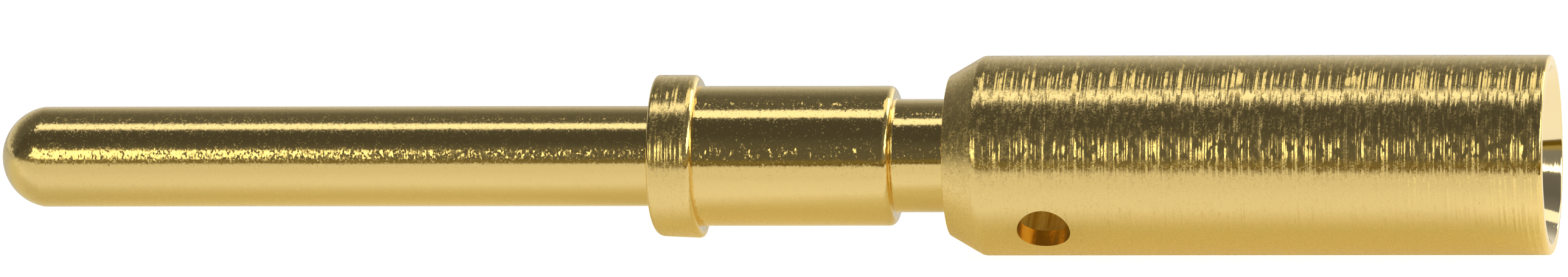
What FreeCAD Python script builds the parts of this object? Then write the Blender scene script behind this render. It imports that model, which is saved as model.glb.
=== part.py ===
import FreeCAD, Part
import math
import os

# A crimp contact turned from one bar: a round-nosed contact pin, a collar, a seat
# body, a neck, and a crimp barrel that is drilled for the wire.
#
# All sizes are millimetres and degrees. The turning axis is X. The pin points
# to -X and the wire goes in from +X. The origin is on the axis in the front face of
# the collar, where the contact pin has its root. Z is up, and the contact lies level.

AXIS_POINT = FreeCAD.Vector(0, 0, 0)
AXIS_DIRECTION = FreeCAD.Vector(1, 0, 0)
FULL_TURN = 360.0

# Contact pin. Its nose is round, so that it finds the socket. The nose belongs to a
# ball a little larger than the pin, and meets the pin's side in a faint edge.
pin_diameter = 1.62
pin_length = 10.69
nose_radius = 0.82

# Collar, which stops the contact against the shoulder of its cavity.
collar_diameter = 2.62
collar_width = 0.735
collar_front_round = 0.07
collar_back_break = 0.03

# Seat body, which the retaining clip closes round.
seat_diameter = 2.26
seat_length = 3.188
seat_end_break = 0.05

# Neck between the seat body and the crimp barrel.
neck_diameter = 1.83
neck_length = 0.877
neck_root_round = 0.04

# Wire bore, drilled from the mouth. The drill leaves a cone at its end, and
# bore_end_wall is the solid metal left between that cone and the neck.
bore_diameter = 2.60
bore_depth = 8.555
drill_point_angle = 118.0
bore_end_wall = 0.40

# Crimp barrel. Its outside follows the bore by the wall that the tool crimps.
crimp_wall = 0.31
shoulder_length = 0.552
shoulder_angle = 30.0
shoulder_round = 0.05

# Mouth of the barrel. A lead-in cone guides the strands, and a flat rim is left
# between the cone and the edge break outside.
mouth_rim = 0.12
mouth_edge_break = 0.055
lead_in_angle = 23.0

# Inspection hole, drilled square to the axis through one wall. Its edge lies just
# short of the bore's end, so that it shows the strands when the wire is home. It
# faces the front and below, by an angle measured from the level.
sight_hole_diameter = 0.86
sight_hole_end_gap = 0.02
sight_hole_below_level = 35.0

# Radii and places that follow from the sizes above.
pin_radius = pin_diameter / 2
collar_radius = collar_diameter / 2
seat_radius = seat_diameter / 2
neck_radius = neck_diameter / 2
bore_radius = bore_diameter / 2
barrel_radius = bore_radius + crimp_wall
shoulder_face_radius = barrel_radius - shoulder_length * math.tan(math.radians(shoulder_angle))

drill_point_length = bore_radius / math.tan(math.radians(drill_point_angle / 2))
barrel_length = bore_depth + drill_point_length + bore_end_wall
lead_in_radius = barrel_radius - mouth_edge_break - mouth_rim
lead_in_length = (lead_in_radius - bore_radius) / math.tan(math.radians(lead_in_angle))

tip_x = -pin_length
nose_angle = math.asin(pin_radius / nose_radius)
nose_end_x = tip_x + nose_radius * (1 - math.cos(nose_angle))
nose_middle_x = tip_x + nose_radius * (1 - math.cos(nose_angle / 2))
nose_middle_radius = nose_radius * math.sin(nose_angle / 2)
collar_back_x = collar_width
seat_end_x = collar_back_x + seat_length
barrel_front_x = seat_end_x + neck_length
barrel_full_x = barrel_front_x + shoulder_length
mouth_x = barrel_front_x + barrel_length
bore_end_x = mouth_x - bore_depth
drill_tip_x = bore_end_x - drill_point_length
lead_in_end_x = mouth_x - lead_in_length
sight_hole_radius = sight_hole_diameter / 2
sight_hole_x = bore_end_x + sight_hole_end_gap + sight_hole_radius

# The inspection hole points this way from the axis. The half section is drawn in
# the same plane, on the other side of the axis, where the wall is whole.
below_level = math.radians(sight_hole_below_level)
hole_direction = FreeCAD.Vector(0, -math.cos(below_level), -math.sin(below_level))
section_direction = FreeCAD.Vector(0, -hole_direction.y, -hole_direction.z)


def corner(x, radius, cut="sharp", size=0.0):
    """A corner of the half section: its place along the axis, its distance from
    the axis, and whether it is left sharp, rounded with an arc or broken with a
    flat. size is the arc's radius, or the length that the break takes off each side.
    A point marked "bow" is no corner: one arc runs through it, from the corner
    before it to the corner after it."""
    place = AXIS_DIRECTION * x + section_direction * radius
    return {"at": place, "cut": cut, "size": size}


def corner_cut(before, here, after):
    """The points that stand for one corner: itself where it is sharp, the two ends
    of a break, or the start, middle and end of a rounding arc. For two sides that
    meet at an angle, an arc of radius r touches each side r / tan(angle / 2) from
    the corner, and its centre lies r / sin(angle / 2) away, on the bisector."""
    point = here["at"]
    if here["cut"] in ("sharp", "bow"):
        return [point]
    to_before = (before["at"] - point).normalize()
    to_after = (after["at"] - point).normalize()
    if here["cut"] == "break":
        return [point + to_before * here["size"], point + to_after * here["size"]]
    half_angle = to_before.getAngle(to_after) / 2
    reach = here["size"] / math.tan(half_angle)
    bisector = (to_before + to_after).normalize()
    middle = point + bisector * (here["size"] / math.sin(half_angle) - here["size"])
    return [point + to_before * reach, middle, point + to_after * reach]


def half_section(corners):
    """The closed outline of a half section, as a face: straight sides between the
    corners, with an arc where a corner is rounded or a point is marked "bow"."""
    count = len(corners)
    cuts = [
        corner_cut(corners[i - 1], corners[i], corners[(i + 1) % count])
        for i in range(count)
    ]
    edges = []
    for i in range(count):
        points = cuts[i]
        following = (i + 1) % count
        if corners[i]["cut"] == "bow":
            edges.append(Part.Arc(cuts[i - 1][-1], points[0], cuts[following][0]).toShape())
            continue
        if len(points) == 2:
            edges.append(Part.makeLine(points[0], points[1]))
        if len(points) == 3:
            edges.append(Part.Arc(points[0], points[1], points[2]).toShape())
        if corners[following]["cut"] != "bow":
            edges.append(Part.makeLine(points[-1], cuts[following][0]))
    return Part.Face(Part.Wire(edges))


def front_corners():
    """From the nose of the pin to the end of the neck."""
    return [
        corner(tip_x, 0),
        corner(nose_middle_x, nose_middle_radius, "bow"),
        corner(nose_end_x, pin_radius),
        corner(0, pin_radius),
        corner(0, collar_radius, "round", collar_front_round),
        corner(collar_back_x, collar_radius, "break", collar_back_break),
        corner(collar_back_x, seat_radius),
        corner(seat_end_x, seat_radius, "break", seat_end_break),
        corner(seat_end_x, neck_radius, "round", neck_root_round),
    ]


def barrel_corners():
    """From the shoulder of the barrel, round its mouth and down the wire bore to
    the point that the drill left."""
    return [
        corner(barrel_front_x, neck_radius, "round", neck_root_round),
        corner(barrel_front_x, shoulder_face_radius),
        corner(barrel_full_x, barrel_radius, "round", shoulder_round),
        corner(mouth_x, barrel_radius, "break", mouth_edge_break),
        corner(mouth_x, lead_in_radius),
        corner(lead_in_end_x, bore_radius),
        corner(bore_end_x, bore_radius),
        corner(drill_tip_x, 0),
    ]


def turned_blank():
    """The half section carried once round the axis, with the wire bore in it."""
    section = half_section(front_corners() + barrel_corners())
    return section.revolve(AXIS_POINT, AXIS_DIRECTION, FULL_TURN)


def sight_hole():
    """The inspection hole's drill: a cylinder from the axis out through one wall."""
    start = FreeCAD.Vector(sight_hole_x, 0, 0)
    reach = barrel_radius + crimp_wall
    return Part.makeCylinder(sight_hole_radius, reach, start, hole_direction)


def crimp_contact():
    """The finished contact, one solid."""
    return turned_blank().cut(sight_hole()).Solids[0]


def main():
    os.makedirs("parts", exist_ok=True)
    contact = crimp_contact()
    contact.exportStep("parts/crimp_contact.step")
    box = contact.optimalBoundingBox(False)
    print("crimp_contact: valid", contact.isValid(), "volume", round(contact.Volume, 3), "mm3")
    print("length", round(box.XLength, 3), "across", round(box.YLength, 3), round(box.ZLength, 3))


main()
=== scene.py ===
# %% [markdown]
# A crimp contact is turned from one bar of copper alloy and then gold plated: a round-nosed
# pin, a collar, a seat, a neck and a hollow barrel for the wire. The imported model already
# holds it at its real size, so it is loaded first, as a frame that nothing here moves.

import math

import bpy
import numpy as np
from mathutils import Matrix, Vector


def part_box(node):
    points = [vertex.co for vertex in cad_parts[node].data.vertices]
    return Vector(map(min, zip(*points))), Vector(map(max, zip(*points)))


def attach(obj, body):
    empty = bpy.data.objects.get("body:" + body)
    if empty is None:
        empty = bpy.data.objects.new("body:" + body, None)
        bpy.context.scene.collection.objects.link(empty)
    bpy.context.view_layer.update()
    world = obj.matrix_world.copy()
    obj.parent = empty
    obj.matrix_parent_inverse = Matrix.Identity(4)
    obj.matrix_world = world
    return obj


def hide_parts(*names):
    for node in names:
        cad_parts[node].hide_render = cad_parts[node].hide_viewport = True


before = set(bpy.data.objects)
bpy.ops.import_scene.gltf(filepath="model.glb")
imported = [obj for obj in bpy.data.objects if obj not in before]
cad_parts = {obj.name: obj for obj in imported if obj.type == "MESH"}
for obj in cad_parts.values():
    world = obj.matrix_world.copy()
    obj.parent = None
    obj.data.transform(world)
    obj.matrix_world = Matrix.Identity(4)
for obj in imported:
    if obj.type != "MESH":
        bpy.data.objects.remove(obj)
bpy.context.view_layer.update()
mm = 0.001

# %% [markdown]
# The picture is very wide and low, and taken from far off with a long lens, so the contact
# shows almost no perspective. The camera looks down a little and stands a few degrees
# towards the mouth, which opens the far rim to view. A small roll levels the axis, which
# would otherwise run downhill to the right. The lens could be given as a field of view too,
# but a sensor as high as the picture's share lets the scale be read in pixels per mm.

# %% Set up the camera
picture_width = 2576
picture_height = 455
pixels_per_mm = 101.9
middle_of_picture_x = 2.076 * mm
axis_below_middle_in_pixels = 28.4
axis_below_middle = axis_below_middle_in_pixels / pixels_per_mm * mm
camera_azimuth = math.radians(8.3)
camera_elevation = math.radians(14.0)
camera_roll = math.radians(2.10)
lens_length = 600.0
long_side_sensor = 36.0
sensor_height = long_side_sensor * picture_height / picture_width
sensor_width_for_other_views = 74.0
near_limit = 0.01
far_limit = 10.0
distance = picture_height / pixels_per_mm * mm * lens_length / sensor_height


def facing(back, up, place):
    """A pose that looks along -back from a place: the columns right, up, back and place."""
    pose = np.eye(4)
    pose[:3, 0] = np.cross(up, back)
    pose[:3, 1] = up
    pose[:3, 2] = back
    pose[:3, 3] = place
    return Matrix(pose.tolist())


def direction(azimuth, elevation):
    """The unit vector towards a place at that azimuth, counted from -Y towards +X, and
    elevation: (sin a cos e, -cos a cos e, sin e). Then the level vector to its right."""
    level = math.cos(elevation)
    out = [math.sin(azimuth) * level, -math.cos(azimuth) * level, math.sin(elevation)]
    return np.array(out), np.array([math.cos(azimuth), math.sin(azimuth), 0.0])


towards_camera, level_right = direction(camera_azimuth, camera_elevation)
level_up = np.cross(towards_camera, level_right)
picture_up = math.cos(camera_roll) * level_up + math.sin(camera_roll) * level_right
eye = np.array([middle_of_picture_x, 0.0, 0.0])
eye = eye + axis_below_middle * picture_up + distance * towards_camera

camera_data = bpy.data.cameras.new("camera")
camera_data.lens = lens_length
camera_data.sensor_fit = "VERTICAL"
camera_data.sensor_height = sensor_height
camera_data.sensor_width = sensor_width_for_other_views
camera_data.clip_start = near_limit
camera_data.clip_end = far_limit
camera = bpy.data.objects.new("camera", camera_data)
bpy.context.scene.collection.objects.link(camera)
camera.matrix_world = facing(towards_camera, picture_up, eye)
bpy.context.scene.camera = camera
print("camera distance in mm:", round(distance / mm, 1))

# %% [markdown]
# Colours are written as the sRGB hex values that a colour picker shows, and the shader wants
# linear light, so one function turns them. A second small function adds a node, sets its
# values and makes its links, which keeps each material short enough to read.

# %% Colour and node helpers
scalar = "ShaderNodeMath"
vector = "ShaderNodeVectorMath"


def linear(hex_colour):
    """An sRGB hex colour as linear RGBA: each channel c becomes ((c + 0.055) / 1.055) ** 2.4,
    or c / 12.92 where c is at most 0.04045."""
    channels = np.array([int(hex_colour[i:i + 2], 16) / 255.0 for i in (1, 3, 5)])
    bright = ((channels + 0.055) / 1.055) ** 2.4
    return (*np.where(channels <= 0.04045, channels / 12.92, bright), 1.0)


def node(tree, kind, sockets=(), **settings):
    """Adds a node with its settings. Sockets are given by name, or in order as a list. A value
    that is a socket is linked, and any other is set. The result is the node's first output."""
    made = tree.nodes.new(kind)
    for name, value in settings.items():
        setattr(made, name, value)
    pairs = sockets.items() if isinstance(sockets, dict) else enumerate(sockets)
    for name, value in pairs:
        if isinstance(value, bpy.types.NodeSocket):
            tree.links.new(value, made.inputs[name])
        else:
            made.inputs[name].default_value = value
    return made.outputs[0]


def set_stops(elements, stops):
    """Fills a colour ramp with linear colours at places from 0 to 1."""
    while len(elements) < len(stops):
        elements.new(1.0)
    for element, (place, colour) in zip(elements, stops):
        element.position = place
        element.color = (*colour, 1)


gold = "#F3D78E"
print("gold as linear light:", [round(value, 3) for value in linear(gold)])

# %% [markdown]
# The outline of a turned piece is a row of corners, each with the radius that the tool, the
# tumbling and the plating leave on it. The lengths are those of the frame: the tip, the mouth
# and the barrel's radius come from its box. A Bevel modifier could round the edges, but true
# arcs in the outline give them an exact width, and so the thin glints along them, because a
# sharp corner reflects nothing.

# %% Lengths of the contact, in millimetres
low, high = (np.array(corner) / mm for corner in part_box("crimp_contact"))
tip_x = low[0]
mouth_x = high[0]
barrel_radius = high[1]
pin_radius = 0.81
nose_radius = 0.82
collar_radius = 1.31
collar_back_x = 0.735
seat_radius = 1.13
seat_end_x = 3.923
neck_radius = 0.915
barrel_front_x = 4.80
barrel_full_x = 5.352
shoulder_face_radius = 1.2913
bore_radius = 1.30
bore_end_x = 5.9811
drill_tip_x = 5.20
lead_in_radius = 1.435
lead_in_end_x = 14.2181
hole_x = 6.4311
hole_radius = 0.43
hole_below_level = math.radians(35.0)

collar_front_round = 0.07
worn_edge_round = 0.12
neck_root_round = 0.04
shoulder_face_round = 0.02
shoulder_round = 0.2
mouth_round = 0.055
lead_in_round = 0.02
print("length and width in mm:", round(mouth_x - tip_x, 3), round(2 * barrel_radius, 3))

# %% Round the corners of the outline
nose_steps = 28
outside_arc_points = 7
inside_arc_points = 2
same_place = 1e-6
tiny = 1e-9


def rounded(corners, steps):
    """Rows of x, r and a radius become a smooth line. Each corner is swapped for an arc that
    touches both its sides: with the half angle h between the sides, the arc starts at
    radius / tan(h) from the corner and its centre lies radius / sin(h) along the bisector."""
    points = corners[:, :2]
    radii = corners[:, 2:]
    before = np.roll(points, 1, axis=0) - points
    after = np.roll(points, -1, axis=0) - points
    before[0] = -after[0]
    after[-1] = -before[-1]
    before = before / np.linalg.norm(before, axis=1, keepdims=True)
    after = after / np.linalg.norm(after, axis=1, keepdims=True)
    half = np.arccos(np.clip((before * after).sum(axis=1, keepdims=True), -1, 1)) / 2
    half = np.where(radii > 0, half, np.pi / 4)
    bisector = before + after
    bisector = bisector / np.maximum(np.linalg.norm(bisector, axis=1, keepdims=True), tiny)
    centres = points + bisector * radii / np.sin(half)
    first = points + before * radii / np.tan(half) - centres
    last = points + after * radii / np.tan(half) - centres
    turn = np.pi - 2 * half
    share = np.linspace(0, 1, steps)[None, :, None]
    swing = turn[:, None] * share
    arcs = (
        first[:, None] * np.sin(turn[:, None] - swing) + last[:, None] * np.sin(swing)
    ) / np.maximum(np.sin(turn[:, None]), tiny)
    line = (centres[:, None] + arcs).reshape(-1, 2)
    return line[np.r_[True, np.linalg.norm(np.diff(line, axis=0), axis=1) > same_place]]


nose_angle = np.linspace(0, math.asin(pin_radius / nose_radius), nose_steps + 1)[1:]
nose = np.column_stack([
    tip_x + nose_radius * (1 - np.cos(nose_angle)),
    nose_radius * np.sin(nose_angle),
])
outside_corners = np.array([
    [nose[-1, 0], pin_radius, 0],
    [0, pin_radius, 0],
    [0, collar_radius, collar_front_round],
    [collar_back_x, collar_radius, worn_edge_round],
    [collar_back_x, seat_radius, 0],
    [seat_end_x, seat_radius, worn_edge_round],
    [seat_end_x, neck_radius, neck_root_round],
    [barrel_front_x, neck_radius, neck_root_round],
    [barrel_front_x, shoulder_face_radius, shoulder_face_round],
    [barrel_full_x, barrel_radius, shoulder_round],
    [mouth_x, barrel_radius, mouth_round],
    [mouth_x, lead_in_radius, lead_in_round],
    [lead_in_end_x, bore_radius, 0],
])
inside_corners = np.array([
    [lead_in_end_x, bore_radius, 0],
    [bore_end_x, bore_radius, 0],
    [drill_tip_x, 0, 0],
])
outside = rounded(outside_corners, outside_arc_points)
inside = rounded(inside_corners, inside_arc_points)
print("outline points:", len(nose), len(outside), len(inside))

# %% [markdown]
# A long straight side next to a tight arc needs one more ring close to the arc. Without it
# the shading normal of the arc would be smeared over the whole side, and a mirror-like metal
# shows that at once. Even stations are added too, so that no face is much longer than wide.
# A Subdivision Surface would add rings everywhere, also where nothing bends.

# %% Add the rings
ring_spacing = 0.4
support_length = 0.012
same_ring = 1e-5
window_reach = 0.62
window_start_x = bore_end_x
window_end_x = hole_x + window_reach
window_ring_count = 13
window_rings = np.linspace(window_start_x, window_end_x, window_ring_count)


def with_rings(line, extra):
    """Walks along the line by its length s. Stations are the line's own points, points a
    support length inside each long side, even steps, and the extra stations."""
    steps = np.linalg.norm(np.diff(line, axis=0), axis=1)
    length = np.r_[0, np.cumsum(steps)]
    long = steps > 4 * support_length
    even = np.arange(0, length[-1], ring_spacing)
    side = np.clip(np.searchsorted(length, even, side="right") - 1, 0, len(steps) - 1)
    clear = np.minimum(even - length[side], length[side + 1] - even) > ring_spacing / 3
    stations = np.r_[
        length, length[:-1][long] + support_length, length[1:][long] - support_length,
        even[clear & long[side]], extra,
    ]
    stations = np.unique(np.round(stations, 7))
    return np.column_stack([np.interp(stations, length, line[:, k]) for k in (0, 1)])


def length_at(line, x, radius):
    """How far along the line its wall of that radius reaches each x."""
    steps = np.linalg.norm(np.diff(line, axis=0), axis=1)
    length = np.r_[0, np.cumsum(steps)]
    start = np.flatnonzero(np.abs(line[:, 1] - radius) < same_place)[0]
    return length[start] + np.abs(x - line[start, 0])


def clear_of_window(line, radius):
    """Drops the rings on the wall that lie inside the window, apart from its own."""
    on_wall = np.abs(line[:, 1] - radius) < same_place
    after_start = line[:, 0] > window_start_x + same_place
    before_end = line[:, 0] < window_end_x - same_place
    own = np.min(np.abs(line[:, :1] - window_rings[None]), axis=1) < same_ring
    return line[~(on_wall & after_start & before_end & ~own)]


outside = with_rings(outside, length_at(outside, window_rings, barrel_radius))
inside = with_rings(inside, length_at(inside, window_rings, bore_radius))
outside = clear_of_window(outside, barrel_radius)
inside = clear_of_window(inside, bore_radius)[1:-1]
rings = np.concatenate([nose[:-1], outside, inside])
ring_count = len(rings)
print("rings:", ring_count)

# %% [markdown]
# The outline is carried round the axis to give a grid of rings and columns. The inspection
# hole is a window in that grid, on the outer wall and again on the bore wall. Each window
# keeps its border, and loops of points shrink from the border to the drilled edge. The edge
# is where the drill meets a round wall: at the angle t it lies radius * cos(t) along the
# contact and arcsin(radius * sin(t) / wall radius) round it. Cutting with a Boolean would be
# shorter, but it leaves slivers that spoil the reflection of a polished wall.

# %% Carry the outline round the axis
columns = 256
half_window = 18
column_angle = 2 * np.pi * np.arange(columns) / columns


def on_the_contact(x, radius, angle):
    """A point at an angle round the axis, counted from the inspection hole's middle."""
    turned_by = angle + hole_below_level
    return np.stack([x, -radius * np.cos(turned_by), -radius * np.sin(turned_by)], axis=-1)


whole_grid = np.ones((ring_count, columns))
grid = on_the_contact(
    rings[:, :1] * whole_grid, rings[:, 1:] * whole_grid, column_angle * whole_grid,
)
number = np.arange(ring_count * columns).reshape(ring_count, columns)
next_number = np.roll(number, -1, axis=1)
quads = np.stack([number[:-1], next_number[:-1], next_number[1:], number[1:]], axis=-1)
print("grid quads:", quads.shape[0] * quads.shape[1])

# %% Find the window's border and the drilled edge


def window_of(radius):
    """The rows of the window's first and last ring on the wall of that radius."""
    wall = np.abs(rings[:, 1] - radius) < same_place
    return [
        np.flatnonzero(wall & (np.abs(rings[:, 0] - x) < same_ring))[0]
        for x in window_rings[[0, -1]]
    ]


def border(first_row, last_row):
    """The window's border as one loop of vertex numbers, with x and angle of each."""
    step = 1 if last_row > first_row else -1
    rows = np.arange(first_row, last_row + step, step)
    cells = np.arange(-half_window, half_window + 1)
    along = len(rows) - 1
    across = len(cells) - 1
    loop_rows = np.r_[
        np.full(across, rows[0]), rows[:-1], np.full(across, rows[-1]), rows[:0:-1],
    ]
    loop_cells = np.r_[
        cells[:-1], np.full(along, cells[-1]), cells[:0:-1], np.full(along, cells[0]),
    ]
    angle = loop_cells * 2 * np.pi / columns
    return number[loop_rows, loop_cells % columns], rings[loop_rows, 0], angle


outer_rows = window_of(barrel_radius)
inner_rows = window_of(bore_radius)
outer_loop, loop_x, loop_angle = border(*outer_rows)
inner_loop, _, _ = border(*inner_rows)
drill_angle = np.arctan2(barrel_radius * loop_angle, loop_x - hole_x)
edge_x = hole_x + hole_radius * np.cos(drill_angle)
print("points round the window:", len(outer_loop))

# %% Line the hole
outer_shares = [0.3, 0.6, 0.85, 1.0]
inner_shares = outer_shares[::-1]
hole_wall_loops = 6


def edge_angle(radius):
    """How far round the wall of that radius the drilled edge lies."""
    return np.arcsin(hole_radius * np.sin(drill_angle) / radius)


def shrinking(radius, shares):
    """Loops on the wall between the border, at 0, and the drilled edge, at 1."""
    shares = np.array(shares)[:, None]
    x = (1 - shares) * loop_x + shares * edge_x
    angle = (1 - shares) * loop_angle + shares * edge_angle(radius)
    return on_the_contact(x, radius + 0 * x, angle)


outer_patch = shrinking(barrel_radius, outer_shares)
inner_patch = shrinking(bore_radius, inner_shares)
depth = np.linspace(0, 1, hole_wall_loops + 2)[1:-1, None, None]
hole_wall = (1 - depth) * outer_patch[-1] + depth * inner_patch[0]
patch = np.concatenate([outer_patch, hole_wall, inner_patch])
patch_count = patch.shape[0] * patch.shape[1]
patch_number = ring_count * columns + np.arange(patch_count).reshape(patch.shape[:2])
loops = np.concatenate([outer_loop[None], patch_number, inner_loop[None]])
next_loops = np.roll(loops, -1, axis=1)
patch_quads = np.stack([loops[:-1], next_loops[:-1], next_loops[1:], loops[1:]], axis=-1)
print("loops round the hole:", loops.shape)

open_cells = np.zeros(quads.shape[:2], bool)
window_columns = np.arange(-half_window, half_window) % columns
for first_row, last_row in (sorted(outer_rows), sorted(inner_rows)):
    open_cells[first_row:last_row, window_columns] = True
wall_quads = quads[~open_cells]

# %% [markdown]
# A loose contact gets knocked about. This one took a blow on the collar's lower side, which
# bent that part of the flange back by a tenth of a millimetre. A Lattice could bend it too,
# but a formula says where the push begins and ends: it fades out round the collar as a
# squared cosine and grows from the seat out to the rim.

# %% Bend the collar
bend_depth = 0.092
bend_flare = 0.02
bend_middle = math.radians(-88.0)
bend_half_width = math.radians(70.0)
collar_margin = 0.001


def bent(points):
    """The points with the collar's rim pushed along x and a little outwards, where w is
    cos(90 degrees * angle from the middle / half width) ** 2, and 0 beyond the half width."""
    x, y, z = points.T
    away = np.hypot(y, z)
    on_flange = (x > -collar_margin) & (x < collar_back_x + collar_margin) & (away > seat_radius)
    off_middle = np.abs(np.angle(np.exp(1j * (np.arctan2(z, y) - bend_middle))))
    weight = np.cos(np.pi / 2 * np.minimum(off_middle / bend_half_width, 1)) ** 2
    weight = weight * on_flange * (away - seat_radius) / (collar_radius - seat_radius)
    flare = 1 + bend_flare * weight * (2 * x / collar_back_x - 1) / collar_radius
    return np.column_stack([x + bend_depth * weight, y * flare, z * flare])


ends_on_axis = [[tip_x, 0, 0], [drill_tip_x, 0, 0]]
straight = np.concatenate([grid.reshape(-1, 3), patch.reshape(-1, 3), ends_on_axis])
vertices = bent(straight)
print("largest bend in mm:", round(np.abs(vertices - straight).max(), 3))

# %% [markdown]
# Both ends of the grid close on the axis, at the nose's tip and at the point that the drill
# leaves. Then the arrays go into one mesh. The volume that the faces enclose is worked out
# from them and printed: a positive volume means that they point outwards, and it should be
# close to that of the solid.

# %% Make the mesh
sharp_above = math.radians(28)
tip_number = ring_count * columns + patch_count
drill_tip_number = tip_number + 1
tip_fan = np.stack([np.full(columns, tip_number), next_number[0], number[0]], axis=-1)
drill_fan = np.stack([np.full(columns, drill_tip_number), number[-1], next_number[-1]], axis=-1)
all_quads = np.concatenate([wall_quads, patch_quads.reshape(-1, 4)])
triangles = np.concatenate([
    tip_fan, drill_fan, all_quads[:, [0, 1, 2]], all_quads[:, [0, 2, 3]],
])
corners = vertices[triangles]
volume = (np.cross(corners[:, 0], corners[:, 1]) * corners[:, 2]).sum() / 6
print("triangles:", len(triangles), "volume in mm3:", round(volume, 3))

contact_mesh = bpy.data.meshes.new("contact")
contact_mesh.from_pydata(
    (vertices * mm).tolist(), [], tip_fan.tolist() + drill_fan.tolist() + all_quads.tolist(),
)
contact_mesh.update()
contact_mesh.validate()
contact_mesh.shade_smooth()
contact_mesh.set_sharp_from_angle(angle=sharp_above)
contact = bpy.data.objects.new("turned_contact", contact_mesh)
bpy.context.scene.collection.objects.link(contact)
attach(contact, "root")
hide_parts("crimp_contact")

# %% [markdown]
# Gold plate is a yellow metal mirror, and what the eye reads as its finish is the fine relief
# under it. A Bump node could draw that from heights, but a mirror shows a relief by its
# slopes, so the slopes are added straight to the normal. Turning marks run round the girth
# and tilt the normal along the axis only. That lets them catch lamps to the left and right
# while the level edges of the reflections stay straight. Tiny pits tilt it any way, and matt
# specks blur the mirror where the plating is grainy. The real grain is a few thousandths of
# a millimetre and would vanish in the picture, so the marks, pits and specks are drawn some
# ten times as coarse.

# %% Marks of the tool
break_pitch = (0.07, 0.16, 0.16)
break_low = 0.38
break_high = 0.58
left_in_breaks = 0.2


def broken(tree, place):
    """The share of a mark that is left, from a noise e: it fades in between two levels."""
    periods = [1 / (pitch * mm) for pitch in break_pitch]
    noise = node(tree, "ShaderNodeTexNoise", {
        "Vector": node(tree, vector, [place, periods], operation="MULTIPLY"),
        "Scale": 1.0, "Detail": 1.0,
    })
    return node(tree, "ShaderNodeMapRange", {
        "Value": noise, "From Min": break_low, "From Max": break_high, "To Min": left_in_breaks,
    })


def marked_slope(tree, place, pitches, tilt, ends):
    """The slope tan(tilt) * sin(pi * (2 n - 1)) * ends for a noise n with those pitches in
    mm. The sine keeps every slope within the tilt, so that no mark turns to a dark scratch."""
    periods = [1 / (pitch * mm) for pitch in pitches]
    noise = node(tree, "ShaderNodeTexNoise", {
        "Vector": node(tree, vector, [place, periods], operation="MULTIPLY"),
        "Scale": 1.0, "Detail": 1.0,
    })
    phase = node(tree, scalar, [noise, 2 * math.pi, -math.pi], operation="MULTIPLY_ADD")
    wave = node(tree, scalar, [phase], operation="SINE")
    wave = node(tree, scalar, [wave, ends], operation="MULTIPLY")
    return node(tree, scalar, [wave, math.tan(math.radians(tilt))], operation="MULTIPLY")


print("pitch of the breaks in mm:", break_pitch)

# %% Gold plate
speck_pitch = 0.030
pit_pitch = 0.045
no_wear = ((0, 1, 1), (1, 1, 1))


def gold_plate(name, roughness, marks, tilt, specks, pits, wear=no_wear, colour=gold):
    """Marks are pitches in mm, and tilt the steepest slope that they give. Pits add
    pits * v ** 3 to the normal for a noise vector v from -1 to 1. Specks are two levels of a
    fine noise and a roughness: between the levels that roughness fades in. Wear names two
    places in mm, each with the share of the marks and of the matt specks there."""
    material = bpy.data.materials.new(name)
    material.use_nodes = True
    tree = material.node_tree
    shader = tree.nodes["Principled BSDF"]
    shader.inputs["Base Color"].default_value = linear(colour)
    shader.inputs["Metallic"].default_value = 1.0
    shader.inputs["Roughness"].default_value = roughness
    place = node(tree, "ShaderNodeTexCoord").node.outputs["Object"]
    (start, start_marks, start_matt), (end, end_marks, end_matt) = wear
    way = node(tree, "ShaderNodeMapRange", {
        "Value": node(tree, "ShaderNodeSeparateXYZ", [place]),
        "From Min": start * mm, "From Max": end * mm,
    })

    ends = broken(tree, place)
    slope = marked_slope(tree, place, marks, tilt, ends)
    share = node(
        tree, scalar, [way, end_marks - start_marks, start_marks], operation="MULTIPLY_ADD",
    )
    slope = node(tree, scalar, [slope, share], operation="MULTIPLY")
    axis = node(
        tree, "ShaderNodeVectorTransform", [(1, 0, 0)],
        vector_type="VECTOR", convert_from="OBJECT", convert_to="WORLD",
    )
    along = node(tree, vector, {0: axis, "Scale": slope}, operation="SCALE")
    noise = node(tree, "ShaderNodeTexNoise", {
        "Vector": place, "Scale": 1 / (pit_pitch * mm), "Detail": 0.0,
    }).node.outputs["Color"]
    pit = node(tree, vector, [noise, (2, 2, 2), (-1, -1, -1)], operation="MULTIPLY_ADD")
    square = node(tree, vector, [pit, pit], operation="MULTIPLY")
    cube = node(tree, vector, [pit, square], operation="MULTIPLY")
    normal = node(tree, "ShaderNodeNewGeometry").node.outputs["Normal"]
    normal = node(tree, vector, [normal, along], operation="ADD")
    normal = node(tree, vector, [cube, (pits, pits, pits), normal], operation="MULTIPLY_ADD")
    normal = node(tree, vector, [normal], operation="NORMALIZE")
    tree.links.new(normal, shader.inputs["Normal"])

    bare, matt, added = specks
    if added == 0:
        return material
    share = node(
        tree, scalar, [way, end_matt - start_matt, start_matt], operation="MULTIPLY_ADD",
    )
    fine = node(tree, "ShaderNodeTexNoise", {
        "Vector": place, "Scale": 1 / (speck_pitch * mm), "Detail": 1.0,
    })
    fine = node(tree, "ShaderNodeMapRange", {
        "Value": fine, "From Min": bare, "From Max": matt, "To Min": 0.0, "To Max": added,
    })
    fine = node(tree, scalar, [fine, ends], operation="MULTIPLY")
    rough = node(tree, scalar, [fine, share, roughness], operation="MULTIPLY_ADD")
    tree.links.new(rough, shader.inputs["Roughness"])
    return material


print("pits and specks in mm:", pit_pitch, speck_pitch)

# %% [markdown]
# Each part of the contact was finished in its own way, and the plating shows it. One
# material with a mask would need as many masks as finishes, so each finish is a material of
# its own, and the faces choose among them.

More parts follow.
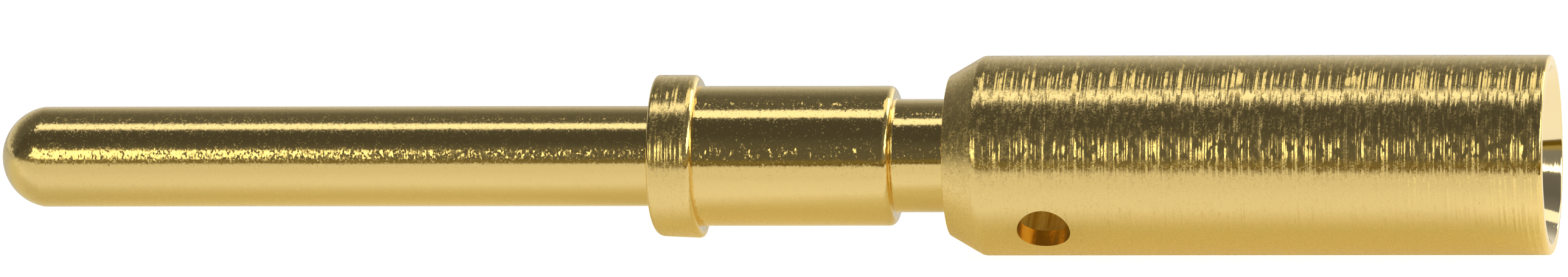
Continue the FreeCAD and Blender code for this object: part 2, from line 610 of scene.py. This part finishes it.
# %% Finishes of the turned surfaces
pin_wear = ((-9, 1.0, 1.0), (-1, 0.75, 0.6))
barrel_wear = ((5.3, 1.0, 1.0), (14.3, 1.0, 0.7))
grain = (0.040, 0.08, 0.08)
glitter = (0.032, 0.05, 0.05)
fine_marks = (0.034, 6.0, 6.0)
no_specks = (0.0, 1.0, 0.0)
finishes = [
    # The seat and the neck are burnished by the tool: clean mirrors with hard edges.
    gold_plate("burnished_gold_plate", 0.11, grain, 5, (0.60, 0.68, 0.28), 0.10),
    # The pin is scuffed from handling, most at its nose: the lamp in front shows as glitter.
    gold_plate("handled_gold_plate", 0.13, glitter, 6, (0.52, 0.68, 0.25), 0.10, pin_wear),
    # The barrel keeps its turning marks: they break each lamp up into short upright lines.
    gold_plate("turned_gold_plate", 0.15, fine_marks, 24, (0.42, 0.64, 0.28), 0.08, barrel_wear),
    # The collar was turned with a finer feed: the same lines, softer and closer.
    gold_plate("fine_turned_gold_plate", 0.17, fine_marks, 20, (0.45, 0.65, 0.25), 0.12),
    # The barrel's cone is grainy: it looks like satin and has no clear reflection.
    gold_plate("satin_gold_plate", 0.25, glitter, 5, (0.40, 0.60, 0.20), 0.35),
    # The bore is drilled: dark and smooth, with faint rings.
    gold_plate("drilled_gold_plate", 0.14, fine_marks, 5, no_specks, 0.0),
    # The inspection hole's wall is left rough, and its plating is given a browner gold.
    gold_plate("rough_drilled_gold_plate", 0.30, glitter, 4, no_specks, 0.2, colour="#D9BC74"),
    # The lead-in is cut last and polished by it: a pale, clear mirror.
    gold_plate("countersunk_gold_plate", 0.08, fine_marks, 1, no_specks, 0.0, colour="#F5E3B9"),
]
(burnished, handled, turned, fine_turned,
 satin, drilled, rough_drilled, countersunk) = range(len(finishes))
for material in finishes:
    contact_mesh.materials.append(material)
print("finishes:", [material.name for material in finishes])

# %% [markdown]
# Light that gets into the bore bounces many times before it comes out, and turns a deep
# golden brown on the way. The render follows only the first few bounces, so a faint glow
# of that colour stands for the rest. It is stronger on some of the drill's rings.

# %% Glow of the bore
drill_ring_pitch = (0.13, 9.0, 9.0)
ring_low = 0.4
ring_high = 0.6
faint_glow = 0.01
strong_glow = 0.15
tree = finishes[drilled].node_tree
place = node(tree, "ShaderNodeTexCoord").node.outputs["Object"]
periods = [1 / (pitch * mm) for pitch in drill_ring_pitch]
drill_rings = node(tree, "ShaderNodeTexNoise", {
    "Vector": node(tree, vector, [place, periods], operation="MULTIPLY"), "Scale": 1.0,
})
bore_glow = node(tree, "ShaderNodeMapRange", {
    "Value": drill_rings, "From Min": ring_low, "From Max": ring_high,
    "To Min": faint_glow, "To Max": strong_glow,
})
bore_shader = tree.nodes["Principled BSDF"]
bore_shader.inputs["Emission Color"].default_value = linear("#C4A84C")
tree.links.new(bore_glow, bore_shader.inputs["Emission Strength"])
print("bore's glow:", faint_glow, "to", strong_glow)

# %% [markdown]
# Each row of faces between two rings takes the finish of its place on the contact. The
# middle of a row decides, so a finish changes exactly at a ring.

# %% Give each face its finish
front_face_margin = 0.0005
rim_margin = 0.003
cone_start_x = barrel_front_x + 0.01
marks_start_x = barrel_full_x - 0.055
marks_end_x = mouth_x - 0.054
row_x, row_radius = ((rings[:-1] + rings[1:]) / 2).T
in_bore = np.arange(ring_count - 1) >= ring_count - 1 - len(inside)
on_pin = row_x < front_face_margin
on_collar = (row_x > front_face_margin) & (row_x < collar_back_x)
on_collar = on_collar & (row_radius > collar_radius - rim_margin)
on_cone = (row_x > cone_start_x) & (row_x < marks_start_x)
on_barrel = (row_x > marks_start_x) & (row_x < marks_end_x)
on_lead_in = (row_radius < lead_in_radius) & (row_x > lead_in_end_x)
row_finish = np.select(
    [in_bore, on_pin, on_collar, on_cone, on_lead_in, on_barrel],
    [drilled, handled, fine_turned, satin, countersunk, turned],
    burnished,
)
wall_finish = np.broadcast_to(row_finish[:, None], open_cells.shape)[~open_cells]
loop_finish = np.full(len(loops) - 1, drilled)
loop_finish[:len(outer_shares)] = turned
loop_finish[len(outer_shares):-len(inner_shares)] = rough_drilled
patch_finish = np.repeat(loop_finish, loops.shape[1])
fan_finish = np.repeat([handled, drilled], columns)
face_finish = np.r_[fan_finish, wall_finish, patch_finish].astype(np.int32)
contact_mesh.polygons.foreach_set("material_index", face_finish)
contact_mesh.update()
print("faces of each finish:", np.bincount(face_finish))

# %% [markdown]
# The contact lies on plain white paper, and its lower half mirrors nothing else. A white
# plane would do for the picture, but the gold takes its colour from what it mirrors, so
# the paper has one look for the metal and another for the eye. The floor is one large
# square at the height of the barrel's lowest line.

# %% Lay the floor
floor_half = 3.0
floor_z = low[2] * mm
floor_corners = [(-1, -1), (1, -1), (1, 1), (-1, 1)]
floor_points = [(x * floor_half, y * floor_half, floor_z) for x, y in floor_corners]
floor_mesh = bpy.data.meshes.new("floor")
floor_mesh.from_pydata(floor_points, [], [(0, 1, 2, 3)])
floor = bpy.data.objects.new("floor", floor_mesh)
bpy.context.scene.collection.objects.link(floor)
paper = bpy.data.materials.new("white_paper")
paper.use_nodes = True
tree = paper.node_tree
tree.nodes.remove(tree.nodes["Principled BSDF"])
rays = node(tree, "ShaderNodeLightPath").node.outputs
place = node(tree, "ShaderNodeTexCoord").node.outputs["Object"]
ground = node(tree, "ShaderNodeSeparateXYZ", [place]).node.outputs
print("floor at z in mm:", round(floor_z / mm, 3))

# %% [markdown]
# In the metal the paper is grey, and its light and shade are painted into a glow that only
# reflections see. A painted bright band lies a little in front of the contact, and a painted
# golden strip just under it stands for the contact's shadow and the light that the gold
# throws down. Under the slender pin that golden strip lies further back, past the mouth the
# paper is pale, and to the left painted shade makes it darker. Its front edge runs askew, and
# beyond it lies a brown table, which the metal shows as a thin brown line. The stops count in
# mm across the contact.

# %% Painted light and shade of the floor, as the metal sees it
glow_reach = 30.0
# Painted light and shade: a bright band in front, and a golden strip of painted shadow and
# bounce under the contact.
painted_light_stops = [
    (-10.3, (0.32, 0.31, 0.30)),
    (-5.1, (0.35, 0.34, 0.34)),
    (-2.35, (0.51, 0.51, 0.535)),
    (-1.55, (0.32, 0.298, 0.16)),
    (0.0, (0.315, 0.295, 0.185)),
    (1.0, (0.26, 0.275, 0.29)),
    (2.5, (0.17, 0.205, 0.31)),
    (10.0, (0.14, 0.175, 0.27)),
]
shift_under_pin = -0.6
shift_ends_x = 5.0
pale_from_x = mouth_x - 0.3
pale_full_x = mouth_x + 0.5
pale_colour = (0.55, 0.53, 0.48, 1)
table_colour = (0.08, 0.052, 0.0, 1)
table_edge = -31.2
paper_edge = -29.2
darkest_x = -14.0
brightest_x = 2.0
darkest_share = 0.75

shift = node(tree, "ShaderNodeMapRange", {
    "Value": ground["X"], "From Min": 0.0, "From Max": shift_ends_x * mm,
    "To Min": shift_under_pin * mm, "To Max": 0.0,
})
across = node(tree, "ShaderNodeMapRange", {
    "Value": node(tree, scalar, [ground["Y"], shift], operation="ADD"),
    "From Min": -glow_reach * mm, "From Max": glow_reach * mm,
})
painted_light_colour = node(tree, "ShaderNodeValToRGB", [across])
elements = painted_light_colour.node.color_ramp.elements
set_stops(elements, [((y + glow_reach) / (2 * glow_reach), colour) for y, colour in painted_light_stops])
past_mouth = node(tree, "ShaderNodeMapRange", {
    "Value": ground["X"], "From Min": pale_from_x * mm, "From Max": pale_full_x * mm,
})
painted_light_colour = node(tree, "ShaderNodeMix", {
    "Factor": past_mouth, "A": painted_light_colour, "B": pale_colour,
}, data_type="RGBA").node.outputs["Result"]
slant = node(tree, scalar, [ground["Y"], ground["X"]], operation="SUBTRACT")
on_paper = node(tree, "ShaderNodeMapRange", {
    "Value": slant, "From Min": table_edge * mm, "From Max": paper_edge * mm,
})
painted_light_colour = node(tree, "ShaderNodeMix", {
    "Factor": on_paper, "A": table_colour, "B": painted_light_colour,
}, data_type="RGBA").node.outputs["Result"]
# Painted shade: the floor's glow in the metal grows darker to the left.
painted_shade_to_left = node(tree, "ShaderNodeMapRange", {
    "Value": ground["X"], "From Min": darkest_x * mm, "From Max": brightest_x * mm,
    "To Min": darkest_share, "To Max": 1.0,
})
seen_in_metal = node(
    tree, scalar, [rays["Is Glossy Ray"], rays["Is Transmission Ray"]], operation="ADD",
)
seen_in_metal = node(tree, scalar, [seen_in_metal, painted_shade_to_left], operation="MULTIPLY")
glow = node(tree, "ShaderNodeEmission", {"Color": painted_light_colour, "Strength": seen_in_metal})
print("stops in the floor's glow:", len(painted_light_stops))

# %% [markdown]
# To the eye the paper is white. Paper is matt, so it mirrors no lamp, and takes a soft
# shadow under the contact. A plain diffuse white would come out as grey as the lamps make
# it, so most of its white is its own light, and the lamps add the rest.

# %% What the eye sees of the floor
table_white = 1.0
paper_less_white = 0.1
eye_level = node(
    tree, scalar, [on_paper, -paper_less_white, table_white], operation="MULTIPLY_ADD",
)
seen_by_eye = node(tree, scalar, [rays["Is Camera Ray"], eye_level], operation="MULTIPLY")
white = node(tree, "ShaderNodeEmission", {"Color": (1, 1, 1, 1), "Strength": seen_by_eye})
ground_colour = node(tree, "ShaderNodeMix", {
    "Factor": on_paper, "A": linear("#564014"), "B": linear("#E8E8E8"),
}, data_type="RGBA").node.outputs["Result"]
matt = node(tree, "ShaderNodeBsdfDiffuse", {"Color": ground_colour})
both = node(tree, "ShaderNodeAddShader", [glow, white])
both = node(tree, "ShaderNodeAddShader", [both, matt])
tree.links.new(both, tree.nodes["Material Output"].inputs["Surface"])
floor_mesh.materials.append(paper)
print("nodes in the paper:", len(tree.nodes))

# %% [markdown]
# A round metal bar is a map of the room: each line along it mirrors one height. A long
# strip close overhead gives the bright line along every part. Because it is close, the
# line wears out towards the mouth. A soft box close by on the front left, one on the right
# and two behind on the right are never mirrored by the plain round surfaces. Only marks
# and edges tilt far enough to catch them, and that makes the sparkle. A picture of a
# studio could light the contact too, but lamps can be aimed one by one.

# %% Set the lamps
near = 0.06
far = 0.25


def lamp(name, place, span, radiance, colour, distance=far, shift=0.0):
    """An oblong lamp that faces the contact. Its place is an elevation and an azimuth, and
    its span a width and a height, all in degrees: a span w is 2 * distance * tan(w / 2)
    wide. Its power is pi * area * radiance. The shift moves it to its own right."""
    elevation, azimuth = np.radians(place)
    width, height = 2 * distance * np.tan(np.radians(span) / 2)
    data = bpy.data.lights.new(name, "AREA")
    data.shape = "RECTANGLE"
    data.size = width
    data.size_y = height
    data.energy = math.pi * width * height * radiance
    data.color = linear(colour)[:3]
    made = bpy.data.objects.new(name, data)
    bpy.context.scene.collection.objects.link(made)
    back, right = direction(azimuth, elevation)
    made.matrix_world = facing(back, np.cross(back, right), back * distance + right * shift)
    made.visible_camera = False
    return made


lamps = [
    lamp("overhead_strip", (87, 0), (54, 15), 1.25, "#FFFFFF", distance=near, shift=-0.0145),
    lamp("left_key", (18, -31), (33, 19), 1.9, "#FFF9D6", distance=near, shift=-0.002),
    lamp("right_side", (22, 72), (48, 18), 3.0, "#FFFBE4"),
    lamp("right_rear", (65, 139), (31, 29), 1.0, "#FFFBE4"),
    lamp("side_rear", (34, 126), (28, 26), 3.0, "#FFFBE4"),
]
print("lamps:", [made.name for made in lamps])

# %% [markdown]
# The rest of the room is dark in front and overhead, and pale behind. The world's colour
# depends on the angle round the contact's axis, atan2(z, -y), counted up from the horizon
# in front, and grows up to twice as bright to the right, towards the mouth. The camera
# itself sees plain white.

# %% Fill the tent
world_stops = [
    (0, (0.20, 0.15, 0.035)),
    (5, (0.19, 0.155, 0.06)),
    (8, (0.12, 0.115, 0.10)),
    (34, (0.10, 0.097, 0.09)),
    (46, (0.075, 0.073, 0.07)),
    (76, (0.07, 0.068, 0.065)),
    (98, (0.10, 0.10, 0.10)),
    (128, (0.13, 0.13, 0.13)),
    (143, (0.26, 0.26, 0.26)),
    (158, (0.52, 0.52, 0.52)),
    (180, (0.75, 0.75, 0.75)),
]
brightest_right = 0.45
share_at_right = 2.0
world = bpy.data.worlds.new("light_tent")
bpy.context.scene.world = world
world.use_nodes = True
tree = world.node_tree
ray = node(tree, "ShaderNodeTexCoord").node.outputs["Generated"]
ray = node(tree, "ShaderNodeSeparateXYZ", [ray]).node.outputs
forward = node(tree, scalar, [ray["Y"], -1.0], operation="MULTIPLY")
angle = node(tree, scalar, [ray["Z"], forward], operation="ARCTAN2")
angle = node(tree, scalar, [angle, 1 / math.pi], operation="MULTIPLY")
around = node(tree, "ShaderNodeValToRGB", [angle])
elements = around.node.color_ramp.elements
set_stops(elements, [(degrees / 180, colour) for degrees, colour in world_stops])
to_the_right = node(tree, "ShaderNodeMapRange", {
    "Value": ray["X"], "From Min": 0.0, "From Max": brightest_right,
    "To Min": 1.0, "To Max": share_at_right,
})
around = node(tree, vector, {0: around, "Scale": to_the_right}, operation="SCALE")
rays = node(tree, "ShaderNodeLightPath").node.outputs
mixed = node(tree, "ShaderNodeMix", {
    "Factor": rays["Is Camera Ray"], "A": around, "B": (1, 1, 1, 1),
}, data_type="RGBA").node.outputs["Result"]
tree.links.new(mixed, tree.nodes["Background"].inputs["Color"])
print("stops in the world:", len(world_stops))

# %% Finish
bpy.context.scene.view_settings.view_transform = "Standard"
